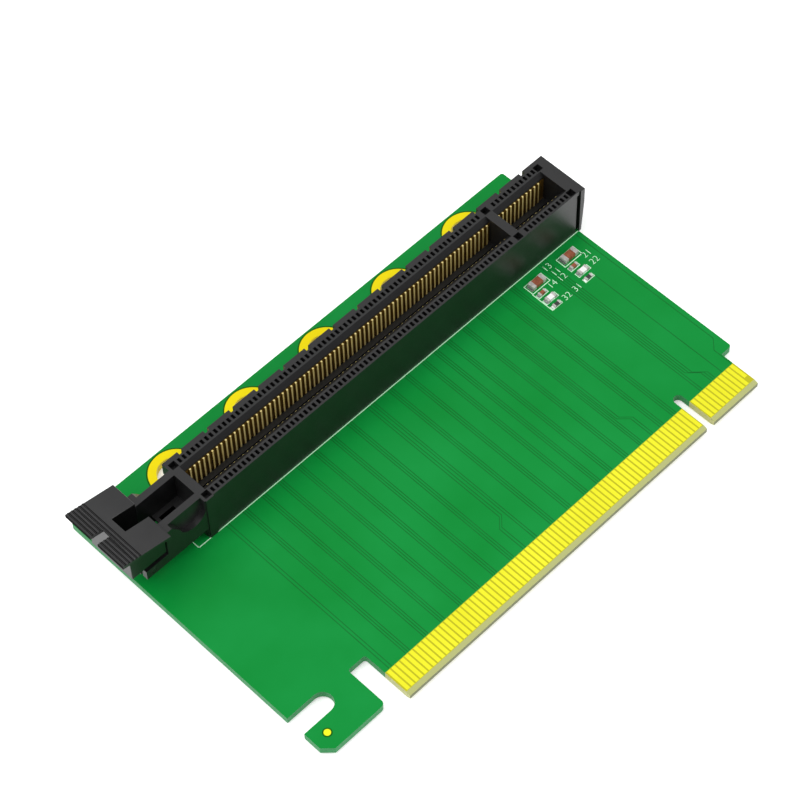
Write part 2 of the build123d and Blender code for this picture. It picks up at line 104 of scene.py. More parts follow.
class Graph:
    """A material's node tree, with short calls for the nodes used here."""

    def __init__(self, name: str) -> None:
        """Starts a material that holds one shader and its output.

        Args:
            name: the material's name.
        """
        self.material = bpy.data.materials.new(name)
        self.material.use_nodes = True
        self.nodes = self.material.node_tree.nodes
        self.links = self.material.node_tree.links
        self.shader = self.nodes["Principled BSDF"]
        coordinates = self.nodes.new("ShaderNodeTexCoord")
        self.place = coordinates.outputs["Object"]

    def feed(self, socket: bpy.types.NodeSocket, value: object) -> None:
        """Links a socket or sets its plain value.

        Args:
            socket: the input to fill.
            value: an output socket, a number or a colour.
        """
        if isinstance(value, bpy.types.NodeSocket):
            self.links.new(value, socket)
        elif isinstance(value, tuple):
            socket.default_value = (*value, 1.0)[: len(socket.default_value)]
        else:
            socket.default_value = value

    def math(self, operation: str, first: object, second: object = 0.0) -> bpy.types.NodeSocket:
        """Adds a math node.

        Args:
            operation: Blender's name of the operation.
            first: its first input.
            second: its second input.

        Returns:
            The node's output.
        """
        node = self.nodes.new("ShaderNodeMath")
        node.operation = operation
        self.feed(node.inputs[0], first)
        self.feed(node.inputs[1], second)
        return node.outputs[0]

    def blend(self, share: object, first: object, second: object) -> bpy.types.NodeSocket:
        """Mixes two colours.

        Args:
            share: how much of the second shows, 0 to 1.
            first: the colour at 0.
            second: the colour at 1.

        Returns:
            The mixed colour.
        """
        node = self.nodes.new("ShaderNodeMix")
        node.data_type = "RGBA"
        self.feed(node.inputs[0], share)
        self.feed(node.inputs[6], first)
        self.feed(node.inputs[7], second)
        return node.outputs[2]

    def axes(self) -> tuple[bpy.types.NodeSocket, ...]:
        """Splits the object's own coordinates.

        Returns:
            The X, Y and Z values in metres.
        """
        split = self.nodes.new("ShaderNodeSeparateXYZ")
        self.links.new(self.place, split.inputs[0])
        return tuple(split.outputs)

    def between(self, value: object, low: float, high: float) -> bpy.types.NodeSocket:
        """One where a value lies between two limits.

        Args:
            value: the value, in metres.
            low: lower limit in millimetres.
            high: upper limit in millimetres.

        Returns:
            One inside, zero outside.
        """
        above = self.math("GREATER_THAN", value, low * MM)
        below = self.math("LESS_THAN", value, high * MM)
        return self.math("MULTIPLY", above, below)

    def distance(self, across: object, along: object) -> bpy.types.NodeSocket:
        """Length of a flat offset.

        Args:
            across: the offset along X.
            along: the offset along Y.

        Returns:
            The distance in metres.
        """
        square = self.math("ADD", self.math("POWER", across, 2.0), self.math("POWER", along, 2.0))
        return self.math("SQRT", square)

    def noise(self, scale: float, detail: float = 3.0, stretch: Triple = (1, 1, 1)) -> bpy.types.NodeSocket:
        """Adds noise over the object's own coordinates.

        Args:
            scale: how fine it is, per metre.
            detail: its octaves.
            stretch: how the pattern is squeezed on each axis.

        Returns:
            The noise value, 0 to 1.
        """
        mapping = self.nodes.new("ShaderNodeMapping")
        mapping.inputs["Scale"].default_value = stretch
        self.links.new(self.place, mapping.inputs["Vector"])
        node = self.nodes.new("ShaderNodeTexNoise")
        node.inputs["Scale"].default_value = scale
        node.inputs["Detail"].default_value = detail
        self.links.new(mapping.outputs["Vector"], node.inputs["Vector"])
        return node.outputs["Fac"]

    def spread(self, value: bpy.types.NodeSocket, low: float, high: float) -> bpy.types.NodeSocket:
        """Maps the middle part of a noise, which holds most of it, onto a range.

        Args:
            value: the noise.
            low: result where the noise is low.
            high: result where it is high.

        Returns:
            The mapped value.
        """
        node = self.nodes.new("ShaderNodeMapRange")
        self.feed(node.inputs["Value"], value)
        self.feed(node.inputs["From Min"], NOISE_LOW)
        self.feed(node.inputs["From Max"], NOISE_HIGH)
        self.feed(node.inputs["To Min"], low)
        self.feed(node.inputs["To Max"], high)
        return node.outputs["Result"]

    def bump(self, height: bpy.types.NodeSocket, strength: float, depth: float) -> None:
        """Puts a bump on the shader.

        Args:
            height: the height pattern.
            strength: how strong it is.
            depth: its depth in metres.
        """
        node = self.nodes.new("ShaderNodeBump")
        node.inputs["Strength"].default_value = strength
        node.inputs["Distance"].default_value = depth
        self.links.new(height, node.inputs["Height"])
        self.links.new(node.outputs["Normal"], self.shader.inputs["Normal"])


@dataclass(frozen=True)
class Finish:
    """A surface with a mottled colour, uneven gloss and a fine bump."""

    name: str
    dark: Colour
    light: Colour
    roughness: Span
    metallic: float = 0.0
    mottle: float = 400.0
    grain: float = 6000.0
    bump: float = 0.15
    depth: float = 2 * FINE_DEPTH
    coat: float = 0.0
    shine: float = 0.5

    def material(self) -> bpy.types.Material:
        """Builds the material.

        Returns:
            The finished material.
        """
        graph = Graph(self.name)
        mottle = graph.noise(self.mottle, MOTTLE_DETAIL)
        grain = graph.noise(self.grain, GRAIN_DETAIL)
        colour = graph.blend(graph.spread(mottle, 0.0, 1.0), self.dark, self.light)
        graph.feed(graph.shader.inputs["Base Color"], colour)
        gloss = graph.spread(grain, *self.roughness)
        graph.feed(graph.shader.inputs["Roughness"], gloss)
        graph.shader.inputs["Metallic"].default_value = self.metallic
        graph.shader.inputs["Coat Weight"].default_value = self.coat
        graph.shader.inputs["Specular IOR Level"].default_value = self.shine
        graph.bump(grain, self.bump, self.depth)
        return graph.material


@dataclass(frozen=True)
class BoardFinish:
    """Solder mask over glass laminate, bare between and below the fingers, where the bare colour is
    darkened with painted shade of the fingers' sides.
    """

    name: str = "solder_mask"
    mask_dark: Colour = linear(2, 132, 48)
    mask_light: Colour = linear(14, 142, 60)
    edge_dark: Colour = linear(34, 130, 68)
    edge_light: Colour = linear(66, 158, 98)
    laminate_dark: Colour = linear(196, 196, 136)
    laminate: Colour = linear(216, 216, 156)
    # painted shade: darker olive laminate colours for the card's leading edge face only
    front_dark: Colour = linear(112, 116, 82)
    front: Colour = linear(134, 138, 100)
    # bare laminate between the fingers, darkened with painted shade of the fingers' sides
    bare: Colour = linear(186, 182, 34)
    bevel: Colour = linear(176, 180, 118)
    clearance: Colour = linear(12, 92, 8)
    mask_edge_mm: float = 5.7
    finger_start_mm: float = 0.86
    shaded_front_mm: float = 0.05
    bevel_mm: float = 0.31
    skin_mm: float = 0.006
    tongues_mm: Span = (-72.2, 12.2)
    thickness_mm: float = 1.57
    first_ring_mm: Point = (-69.96, 57.98)
    ring_pitch_mm: float = 17.65
    ring_count: int = 5
    ring_mm: Span = (4.7, 4.98)
    ring_reach_mm: float = 6.0
    dot_mm: Point = (-86.03, 4.66)
    dot_ring_mm: Span = (0.6, 0.86)
    cloud: float = 60.0
    layer: float = 900.0
    layer_stretch: Triple = (1.0, 1.0, 9.0)
    weave: float = 2600.0
    weave_stretch: Triple = (1.0, 0.35, 1.0)
    roughness: Span = (0.34, 0.46)
    shine: float = 0.12
    bump: float = 0.06

    def rings(self, graph: Graph, x: object, y: object, z: object) -> bpy.types.NodeSocket:
        """Narrow mask clearances round the ring pads and the dot.

        Args:
            graph: the node tree.
            x: the X value.
            y: the Y value.
            z: the Z value.

        Returns:
            One on a clearance, zero elsewhere.
        """
        first = self.first_ring_mm[0]
        last = first + (self.ring_count - 1) * self.ring_pitch_mm
        shift = graph.math("SUBTRACT", x, first * MM)
        fold = graph.math("PINGPONG", shift, self.ring_pitch_mm / 2 * MM)
        row = graph.math("SUBTRACT", y, self.first_ring_mm[1] * MM)
        ring = graph.between(graph.distance(fold, row), *self.ring_mm)
        ends = graph.between(x, first - self.ring_reach_mm, last + self.ring_reach_mm)
        across = graph.math("SUBTRACT", x, self.dot_mm[0] * MM)
        along = graph.math("SUBTRACT", y, self.dot_mm[1] * MM)
        dot = graph.between(graph.distance(across, along), *self.dot_ring_mm)
        dot = graph.math("MULTIPLY", dot, graph.math("GREATER_THAN", z, -self.thickness_mm / 2 * MM))
        return graph.math("MAXIMUM", graph.math("MULTIPLY", ring, ends), dot)

    def faces(self, graph: Graph, x: object, y: object, z: object) -> bpy.types.NodeSocket:
        """Colour of the two faces and the bevels.

        Args:
            graph: the node tree.
            x: the X value.
            y: the Y value.
            z: the Z value.

        Returns:
            The colour.
        """
        cloud = graph.spread(graph.noise(self.cloud), 0.0, 1.0)
        face = graph.blend(cloud, self.mask_dark, self.mask_light)
        face = graph.blend(self.rings(graph, x, y, z), face, self.clearance)
        tongue = graph.between(x, *self.tongues_mm)
        low = graph.math("MULTIPLY", tongue, graph.math("LESS_THAN", y, self.mask_edge_mm * MM))
        # the bare colour here carries painted shade from the fingers' sides
        face = graph.blend(low, face, self.bare)
        tip = graph.math("MULTIPLY", tongue, graph.math("LESS_THAN", y, self.finger_start_mm * MM))
        return graph.blend(tip, face, self.bevel)

    def sides(self, graph: Graph, x: object, y: object) -> bpy.types.NodeSocket:
        """Colour of the cut edges: bare at the tongues, mask-tinted elsewhere, with painted shade on the
        leading edge face.

        Args:
            graph: the node tree.
            x: the X value.
            y: the Y value.

        Returns:
            The colour.
        """
        layers = graph.spread(graph.noise(self.layer, GRAIN_DETAIL, self.layer_stretch), 0.0, 1.0)
        bare = graph.blend(layers, self.laminate_dark, self.laminate)
        # painted shade: the leading edge face, below shaded_front_mm, gets the darker front colours
        shaded = graph.blend(layers, self.front_dark, self.front)
        bare = graph.blend(graph.math("LESS_THAN", y, self.shaded_front_mm * MM), bare, shaded)
        green = graph.blend(layers, self.edge_dark, self.edge_light)
        tongue = graph.between(x, *self.tongues_mm)
        low = graph.math("LESS_THAN", y, self.mask_edge_mm * MM)
        return graph.blend(graph.math("MULTIPLY", tongue, low), green, bare)

    def material(self) -> bpy.types.Material:
        """Builds the material.

        Returns:
            The finished material.
        """
        graph = Graph(self.name)
        x, y, z = graph.axes()
        middle = self.thickness_mm / 2
        depth = graph.math("ABSOLUTE", graph.math("ADD", z, middle * MM))
        wall = graph.math("LESS_THAN", depth, (middle - self.bevel_mm) * MM)
        deep = graph.math("LESS_THAN", depth, (middle - self.skin_mm) * MM)
        inland = graph.math("GREATER_THAN", y, self.finger_start_mm * MM)
        wall = graph.math("MAXIMUM", wall, graph.math("MULTIPLY", deep, inland))
        colour = graph.blend(wall, self.faces(graph, x, y, z), self.sides(graph, x, y))
        graph.feed(graph.shader.inputs["Base Color"], colour)
        weave = graph.noise(self.weave, GRAIN_DETAIL, self.weave_stretch)
        graph.feed(graph.shader.inputs["Roughness"], graph.spread(weave, *self.roughness))
        graph.shader.inputs["Specular IOR Level"].default_value = self.shine
        graph.bump(weave, self.bump, FINE_DEPTH)
        return graph.material


@dataclass(frozen=True)
class HousingFinish:
    """Black moulding with a painted brown reflection of the brass on its contact walls."""

    name: str = "housing_black"
    dark: Colour = linear(13, 13, 14)
    light: Colour = linear(20, 20, 21)
    # painted reflection: the brass contacts' brown, laid on the cavity walls behind them
    painted_brass_reflection: Colour = linear(84, 62, 16)
    slot_middle_mm: float = 49.25
    cavities_mm: Span = (-73.0, 13.0)
    wall_mm: Span = (2.15, 2.4)
    height_mm: Span = (4.7, 10.15)
    roughness: Span = (0.34, 0.46)
    mottle: float = 300.0
    grain: float = 9000.0
    bump: float = 0.2

    def material(self) -> bpy.types.Material:
        """Builds the material.

        Returns:
            The finished material.
        """
        graph = Graph(self.name)
        x, y, z = graph.axes()
        mottle = graph.noise(self.mottle, MOTTLE_DETAIL)
        grain = graph.noise(self.grain, GRAIN_DETAIL)
        plain = graph.blend(graph.spread(mottle, 0.0, 1.0), self.dark, self.light)
        # painted reflection: brown on the walls behind the contacts, inside the cavities' X and Z limits
        offset = graph.math("ABSOLUTE", graph.math("SUBTRACT", y, self.slot_middle_mm * MM))
        wall = graph.between(offset, *self.wall_mm)
        share = graph.math("MULTIPLY", wall, graph.between(z, *self.height_mm))
        share = graph.math("MULTIPLY", share, graph.between(x, *self.cavities_mm))
        graph.feed(graph.shader.inputs["Base Color"], graph.blend(share, plain, self.painted_brass_reflection))
        graph.feed(graph.shader.inputs["Roughness"], graph.spread(grain, *self.roughness))
        graph.bump(grain, self.bump, FINE_DEPTH)
        return graph.material


@dataclass(frozen=True)
class ContactFinish:
    """Bright brass fronts on the contact strips, with painted shade in brown on their sides."""

    name: str = "contact_brass"
    front_dark: Colour = linear(252, 228, 142)
    front_light: Colour = linear(255, 238, 166)
    # painted shade: brown colours that stand in for the shaded sides of each strip
    shaded_side_dark: Colour = linear(88, 64, 18)
    shaded_side_light: Colour = linear(118, 92, 36)
    pitch_mm: float = 1.0
    front_half_mm: float = 0.155
    roughness: Span = (0.24, 0.36)
    metallic: float = 0.1
    streaks: float = 700.0
    streak_stretch: Triple = (1.0, 1.0, 0.15)
    bump: float = 0.1

    def material(self) -> bpy.types.Material:
        """Builds the material.

        Returns:
            The finished material.
        """
        graph = Graph(self.name)
        x = graph.axes()[0]
        streaks = graph.noise(self.streaks, stretch=self.streak_stretch)
        share = graph.spread(streaks, 0.0, 1.0)
        front = graph.blend(share, self.front_dark, self.front_light)
        side = graph.blend(share, self.shaded_side_dark, self.shaded_side_light)
        # painted shade: brown on every part of a strip further than front_half_mm from its middle along X
        middle = graph.math("ADD", x, self.pitch_mm / 2 * MM)
        offset = graph.math("PINGPONG", middle, self.pitch_mm / 2 * MM)
        beside = graph.math("GREATER_THAN", offset, self.front_half_mm * MM)
        graph.feed(graph.shader.inputs["Base Color"], graph.blend(beside, front, side))
        graph.feed(graph.shader.inputs["Roughness"], graph.spread(streaks, *self.roughness))
        graph.shader.inputs["Metallic"].default_value = self.metallic
        graph.bump(streaks, self.bump, FINE_DEPTH)
        return graph.material


BOARD = BoardFinish()
HOUSING = HousingFinish()
CONTACT = ContactFinish()
TRACK = Finish(
    "track_edge", linear(4, 100, 34), linear(10, 112, 44), (0.45, 0.55), mottle=120.0, shine=0.15
)
PRINT = Finish(
    "printed_line", linear(198, 248, 208), linear(212, 254, 220), (0.5, 0.62), mottle=900.0, shine=0.2
)
GOLD = Finish(
    "gold_fingers",
    linear(230, 226, 36),
    linear(240, 238, 50),
    (0.3, 0.42),
    metallic=0.1,
    mottle=60.0,
    grain=3000.0,
    bump=0.06,
    shine=0.15,
)
RING_GOLD = Finish(
    "ring_gold",
    linear(244, 222, 2),
    linear(252, 232, 12),
    (0.3, 0.4),
    metallic=0.1,
    mottle=120.0,
    bump=0.05,
    shine=0.15,
)
DOT_GOLD = Finish(
    "dot_gold",
    linear(236, 240, 20),
    linear(246, 250, 40),
    (0.3, 0.4),
    metallic=0.1,
    mottle=900.0,
    bump=0.05,
    shine=0.15,
)
LATCH = Finish(
    "latch_black", linear(13, 13, 14), linear(21, 21, 22), (0.3, 0.4), mottle=300.0, grain=9000.0, bump=0.2
)
# painted shade: a darker, matte black for the latch's grooves and thumb slot, the pocket's sunk window and
# the sheet under the pocket
SHADE_BLACK = Finish(
    "painted_shade_black", linear(5, 5, 5), linear(11, 11, 11), (0.7, 0.9), mottle=900.0, shine=0.05
)
LEAD_IN = Finish(
    "lead_in_black", linear(10, 10, 11), linear(16, 16, 17), (0.5, 0.62), mottle=300.0, shine=0.2
)
SOLDER = Finish(
    "solder",
    linear(168, 168, 166),
    linear(206, 206, 204),
    (0.2, 0.38),
    metallic=0.85,
    mottle=1500.0,
    bump=0.3,
)
TINNED = Finish(
    "tinned_end",
    linear(176, 174, 170),
    linear(216, 214, 208),
    (0.3, 0.5),
    metallic=0.4,
    mottle=2500.0,
    bump=0.4,
)
CERAMIC = Finish(
    "brown_ceramic", linear(126, 66, 40), linear(160, 92, 62), (0.5, 0.62), mottle=1800.0, bump=0.3
)
LAMP = Finish(
    "lamp_white", linear(236, 238, 236), linear(252, 252, 250), (0.2, 0.3), mottle=1200.0, coat=0.3
)
RESISTOR = Finish(
    "resistor_black", linear(20, 20, 20), linear(34, 33, 32), (0.22, 0.34), mottle=1500.0, coat=0.3
)

AnyFinish = Finish | BoardFinish | HousingFinish | ContactFinish

NODE_FINISHES: dict[str, AnyFinish] = {
    "circuit_board": BOARD,
    "component_side_fingers": GOLD,
    "solder_side_fingers": GOLD,
    "ring_pads": RING_GOLD,
    "alignment_dot": DOT_GOLD,
    "slot_housing": HOUSING,
    "near_outer_contacts": CONTACT,
    "near_inner_contacts": CONTACT,
    "far_inner_contacts": CONTACT,
    "far_outer_contacts": CONTACT,
    "outer_solder_joints": SOLDER,
    "inner_solder_joints": SOLDER,
    "retention_latch": LATCH,
    "large_capacitor_bodies": CERAMIC,
    "large_capacitor_terminals": TINNED,
    "small_capacitor_bodies": CERAMIC,
    "small_capacitor_terminals": TINNED,
    "lamp_bodies": LAMP,
    "lamp_terminals": TINNED,
    "resistor_bodies": RESISTOR,
    "resistor_terminals": TINNED,
    "chip_solder_fillets": SOLDER,
}


def nothing_selected() -> None:
    """Leaves edit mode and deselects every object."""
    if bpy.context.object and bpy.context.object.mode != "OBJECT":
        bpy.ops.object.mode_set(mode="OBJECT")
    bpy.ops.object.select_all(action="DESELECT")


def select_only(piece: bpy.types.Object) -> None:
    """Selects one object alone and makes it the active one.

    Args:
        piece: the object.
    """
    nothing_selected()
    piece.select_set(True)
    bpy.context.view_layer.objects.active = piece


def settle(
    piece: bpy.types.Object, name: str, finish: AnyFinish, body: str
) -> bpy.types.Object:
    """Applies a piece's place, names it, dresses it and lets it ride.

    Args:
        piece: the new object.
        name: its name.
        finish: its finish.
        body: the body that it moves with.

    Returns:
        The same object.
    """
    select_only(piece)
    bpy.ops.object.transform_apply(location=True, rotation=True, scale=True)
    piece.name = name
    piece.data.name = name
    piece.data.materials.clear()
    piece.data.materials.append(finish.material())
    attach(piece, body)
    LOG.info("made %s with %d faces", name, len(piece.data.polygons))
    return piece


def joined(pieces: list[bpy.types.Object]) -> bpy.types.Object:
    """Joins several objects into one.

    Args:
        pieces: the objects.

    Returns:
        The joined object.
    """
    nothing_selected()
    for piece in pieces:
        piece.select_set(True)
    bpy.context.view_layer.objects.active = pieces[0]
    if len(pieces) > 1:
        bpy.ops.object.join()
    return bpy.context.view_layer.objects.active


def thickened(piece: bpy.types.Object, depth: float, offset: float = 0.0) -> bpy.types.Object:
    """Gives a flat piece a thickness.

    Args:
        piece: the flat object.
        depth: the thickness in metres.
        offset: 0 puts half of it on each side, -1 puts all of it below faces that look up.

    Returns:
        The same object.
    """
    wall = piece.modifiers.new("thickness", "SOLIDIFY")
    wall.thickness = depth
    wall.offset = offset
    select_only(piece)
    bpy.ops.object.modifier_apply(modifier=wall.name)
    return piece


def plate(box: Box, height: float) -> bpy.types.Object:
    """Adds a flat rectangle.

    Args:
        box: its left, low, right and high limits in millimetres.
        height: its height in metres.

    Returns:
        The flat object.
    """
    left, low, right, high = (value * MM for value in box)
    nothing_selected()
    bpy.ops.mesh.primitive_plane_add(size=1.0, location=((left + right) / 2, (low + high) / 2, height))
    piece = bpy.context.object
    bpy.ops.object.mode_set(mode="EDIT")
    bpy.ops.transform.resize(value=(right - left, high - low, 1))
    bpy.ops.object.mode_set(mode="OBJECT")
    return piece


def ribbon(points: list[Point], width: float, height: float) -> bpy.types.Object:
    """A flat line that follows points on a face of the board.

    Args:
        points: the route in millimetres. Its first run goes down along Y.
        width: the line's width in millimetres.
        height: its height in metres.

    Returns:
        The flat object.
    """
    (x, top), (_, low) = points[:2]
    piece = plate((x - width / 2, low, x + width / 2, top), height)
    here = Vector((x * MM, low * MM, height))
    for place in points[2:]:
        there = Vector((place[0] * MM, place[1] * MM, height))
        select_edge_at(piece, here)
        bpy.ops.object.mode_set(mode="EDIT")
        bpy.ops.mesh.extrude_region_move(TRANSFORM_OT_translate={"value": there - here})
        bpy.ops.object.mode_set(mode="OBJECT")
        here = there
    return piece


def select_edge_at(piece: bpy.types.Object, place: Vector) -> None:
    """Selects the one edge whose middle is nearest to a place.

    Args:
        piece: the object.
        place: the place in metres.
    """
    mesh = piece.data
    for group in (mesh.polygons, mesh.edges, mesh.vertices):
        for item in group:
            item.select = False
    local = piece.matrix_world.inverted() @ place

    def gap(edge: bpy.types.MeshEdge) -> float:
        """Distance of an edge's middle from the place."""
        first, second = (mesh.vertices[i].co for i in edge.vertices)
        return ((first + second) / 2 - local).length

    nearest = min(mesh.edges, key=gap)
    nearest.select = True
    for index in nearest.vertices:
        mesh.vertices[index].select = True
    bpy.context.tool_settings.mesh_select_mode = (False, True, False)


@dataclass
class CopperTracks:
    """Groups of fine lines that run from the slot to the card edge, in millimetres.

    The short line is a place and a top. The end line is a place, a height and a step.
    """

    width: float = 0.15
    spacing: float = 0.46
    top: float = 44.3
    mask_edge: float = 5.85
    lift: float = 0.006
    triples: tuple[float, ...] = (
        -66.87, -62.63, -58.82, -54.53, -50.63, -46.6, -42.56, -32.85,
        -28.83, -24.74, -21.72, -18.72, -14.75, -5.92, -2.73,
    )
    left_singles: tuple[float, ...] = (-71.1, -70.5, -37.1, -36.62)
    left_turns: tuple[float, ...] = (-38.25, -37.72)
    left_turn_height: float = 12.9
    trio: tuple[float, ...] = (-11.5, -11.1, -10.65)
    right_turns: tuple[float, ...] = (-10.3, -9.8)
    right_turn_height: float = 12.2
    turn_step: float = 1.7
    bus: tuple[float, ...] = (3.93, 4.42, 4.87, 5.34, 5.83)
    bus_turn_height: float = 10.9
    bus_turn_drop: float = 0.35
    bus_jogs: tuple[float, ...] = (0.0, 0.0, 1.9, 1.9, 1.9)
    short_line: Point = (9.45, 35.7)
    end_line: Triple = (13.72, 11.6, -1.82)

    def straight(self, x: float) -> list[Point]:
        """One line without a turn.

        Args:
            x: its place in millimetres.

        Returns:
            The route in millimetres.
        """
        return [(x, self.top), (x, self.mask_edge)]

    def turned(self, x: float, height: float, step: float) -> list[Point]:
        """One line that steps aside on a slant of 45 degrees.

        Args:
            x: its place in millimetres before the step.
            height: where the step starts, in millimetres.
            step: how far it goes to the right, in millimetres.

        Returns:
            The route in millimetres.
        """
        low = height - abs(step)
        return [(x, self.top), (x, height), (x + step, low), (x + step, self.mask_edge)]

    def routes(self) -> list[list[Point]]:
        """Every line's route, the same on both faces.

        Returns:
            Routes in millimetres.
        """
        routes: list[list[Point]] = []
        for middle in self.triples:
            routes += [self.straight(middle + step * self.spacing) for step in (-1, 0, 1)]
        routes += [self.straight(x) for x in self.left_singles]
        routes += [self.turned(x, self.left_turn_height, -self.turn_step) for x in self.left_turns]
        routes += [self.straight(x) for x in self.trio]
        routes += [self.turned(x, self.right_turn_height, self.turn_step) for x in self.right_turns]
        for order, (x, jog) in enumerate(zip(self.bus, self.bus_jogs)):
            height = self.bus_turn_height - order * self.bus_turn_drop
            if jog:
                routes.append(self.turned(x, height, jog))
            else:
                routes.append([(x, self.top), (x, height), (x, self.mask_edge)])
        x, top = self.short_line
        routes.append([(x, top), (x, self.mask_edge)])
        routes.append(self.turned(*self.end_line))
        return routes

    def build(self, side: Side) -> bpy.types.Object:
        """Makes the lines on one face.

        Args:
            side: the face of the board.

        Returns:
            The finished piece.
        """
        low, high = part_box("circuit_board")
        face = high[2] if side is Side.COMPONENT else low[2]
        surface = face + side.value * self.lift * MM
        runs = [ribbon(route, self.width, surface) for route in self.routes()]
        piece = thickened(joined(runs), 2 * self.lift * MM)
        name = f"tracks_{side.name.lower()}_side"
        return settle(piece, name, TRACK, "card")


@dataclass
class PrintedLines:
    """Printed outlines of the slot and the small parts, with plain numbers, in millimetres."""

    width: float = 0.16
    lift: float = 0.012
    slot_line: Box = (-77.25, 44.2, 14.6, 44.37)
    slot_line_end: Box = (-77.25, 44.2, -77.08, 45.95)
    group_line: Box = (-1.38, 35.5, -1.22, 40.4)
    frames: tuple[Box, ...] = (
        (7.02, 40.31, 11.48, 42.67),
        (-1.24, 40.31, 3.23, 42.67),
        (7.05, 38.85, 9.37, 39.92),
        (-1.15, 38.85, 1.27, 39.8),
        (7.1, 37.0, 10.2, 38.17),
        (-1.2, 37.0, 1.9, 38.2),
        (7.1, 35.4, 9.42, 36.35),
        (-1.2, 35.45, 1.25, 36.3),
    )
    numbers: tuple[tuple[str, float, float], ...] = (
        ("11", 4.3, 40.3),
        ("12", 4.2, 38.7),
        ("13", 3.9, 42.1),
        ("14", 1.9, 38.9),
        ("21", 11.0, 39.2),
        ("22", 10.9, 37.2),
        ("31", 4.4, 35.3),
        ("32", 1.8, 35.3),
    )
    number_size: float = 1.9
    curve_steps: int = 3
    thinning: float = 0.022

    def outline(self, box: Box, height: float) -> bpy.types.Object:
        """One rectangular outline.

        Args:
            box: its left, low, right and high limits in millimetres.
            height: its height in metres.

        Returns:
            The flat frame.
        """
        piece = plate(box, height)
        bpy.ops.object.mode_set(mode="EDIT")
        bpy.ops.mesh.inset(thickness=self.width * MM, depth=0.0)
        bpy.ops.mesh.delete(type="FACE")
        bpy.ops.object.mode_set(mode="OBJECT")
        return piece

    def number(self, body: str, x: float, y: float, height: float) -> bpy.types.Object:
        """One plain number.

        Args:
            body: its digits.
            x: its left edge in millimetres.
            y: its foot in millimetres.
            height: its height in metres.

        Returns:
            The flat mesh.
        """
        nothing_selected()
        bpy.ops.object.text_add(location=(x * MM, y * MM, height))
        text = bpy.context.object
        text.data.body = body
        text.data.size = self.number_size * MM
        text.data.resolution_u = self.curve_steps
        text.data.offset = -self.thinning * MM
        bpy.ops.object.convert(target="MESH")
        return bpy.context.object

    def build(self) -> bpy.types.Object:
        """Makes all the print on the component side.

        Returns:
            The finished piece.
        """
        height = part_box("circuit_board")[1][2] + self.lift * MM
        pieces = [plate(box, height) for box in (self.slot_line, self.slot_line_end, self.group_line)]
        pieces += [self.outline(box, height) for box in self.frames]
        pieces += [self.number(body, x, y, height) for body, x, y in self.numbers]
        piece = thickened(joined(pieces), self.lift * MM)
        return settle(piece, "printed_outlines", PRINT, "card")


@dataclass
class SolderJoints:
    """Rounded solder cones with a blunt tail end, in four rows, in millimetres.

    Each of the rings is a depth and a radius.
    """

    pitch: float = 2.0
    base: float = 0.41
    rings: tuple[Point, ...] = ((0.12, 0.36), (0.3, 0.25), (0.48, 0.19), (0.66, 0.165), (0.74, 0.1))
    sides: int = 10
    smooth: float = 50.0
    margin: float = 0.425
    key_half: float = 1.2
    key_shift: float = 1.0
    slack: float = 0.1

    def one(self) -> bpy.types.Object:
        """Models one joint at the origin, hanging down.

        Returns:
            The joint.
        """
        nothing_selected()
        bpy.ops.mesh.primitive_circle_add(vertices=self.sides, radius=self.base * MM, fill_type="NGON")
        piece = bpy.context.object
        bpy.ops.object.mode_set(mode="EDIT")
        bpy.ops.mesh.select_all(action="SELECT")
        depth, radius = 0.0, self.base
        for next_depth, next_radius in self.rings:
            step = (0, 0, -(next_depth - depth) * MM)
            bpy.ops.mesh.extrude_region_move(TRANSFORM_OT_translate={"value": step})
            share = next_radius / radius
            bpy.ops.transform.resize(value=(share, share, 1), center_override=(0, 0, -next_depth * MM))
            depth, radius = next_depth, next_radius
        bpy.ops.mesh.select_all(action="SELECT")
        bpy.ops.mesh.normals_make_consistent(inside=False)
        bpy.ops.object.mode_set(mode="OBJECT")
        bpy.ops.object.shade_smooth_by_angle(angle=math.radians(self.smooth))
        return piece

    def spots(self, node: str) -> list[Point]:
        """Where the joints of one pair of rows stand.

        Args:
            node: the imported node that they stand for.

        Returns:
            Places in metres.
        """
        low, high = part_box(node)
        margin = self.margin * MM
        rows = (low[1] + margin, high[1] - margin)
        columns = []
        x = low[0] + margin
        while x < high[0] - margin + self.slack * MM:
            columns.append(x)
            x += self.pitch * MM
            if abs(x) < self.key_half * MM:
                x += self.key_shift * MM
        return [(x, y) for y in rows for x in columns]

    def build(self, node: str) -> bpy.types.Object:
        """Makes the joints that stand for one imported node.

        Args:
            node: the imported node.

        Returns:
            The finished piece.
        """
        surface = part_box("circuit_board")[0][2]
        model = self.one()
        copies = []
        for x, y in self.spots(node):
            copy = model.copy()
            copy.data = model.data.copy()
            copy.location = (x, y, surface)
            bpy.context.collection.objects.link(copy)
            copies.append(copy)
        bpy.data.objects.remove(model, do_unlink=True)
        piece = settle(joined(copies), node + "_rounded", SOLDER, "card")
        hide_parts(node)
        return piece


@dataclass(frozen=True)
class LatchHollows:
    """The latch's faces that take the matte black finish with painted shade, in millimetres: beside the
    ridges and in the thumb slot.
    """

    ridges: Span = (-94.0, -89.0)
    ridge_floor: float = 13.0
    ridge_tilt: float = 0.25
    undercut: float = -0.1
    slot_half: float = 1.8
    slot_end: float = -88.8
    upright: float = 0.2

    def holds(self, face: bpy.types.MeshPolygon) -> bool:
        """Tells the ridges' steep faces and the thumb slot's walls.

        Args:
            face: a face of the latch.

        Returns:
            True if it is one of them.
        """
        x, y, z = (value / MM for value in face.center)
        on_pad = self.ridges[0] < x < self.ridges[1] and z > self.ridge_floor
        steep = abs(face.normal.x) > self.ridge_tilt and face.normal.z > self.undercut
        in_slot = abs(y - HOUSING.slot_middle_mm) < self.slot_half and x > self.slot_end
        return (on_pad and steep) or (in_slot and abs(face.normal.z) < self.upright)


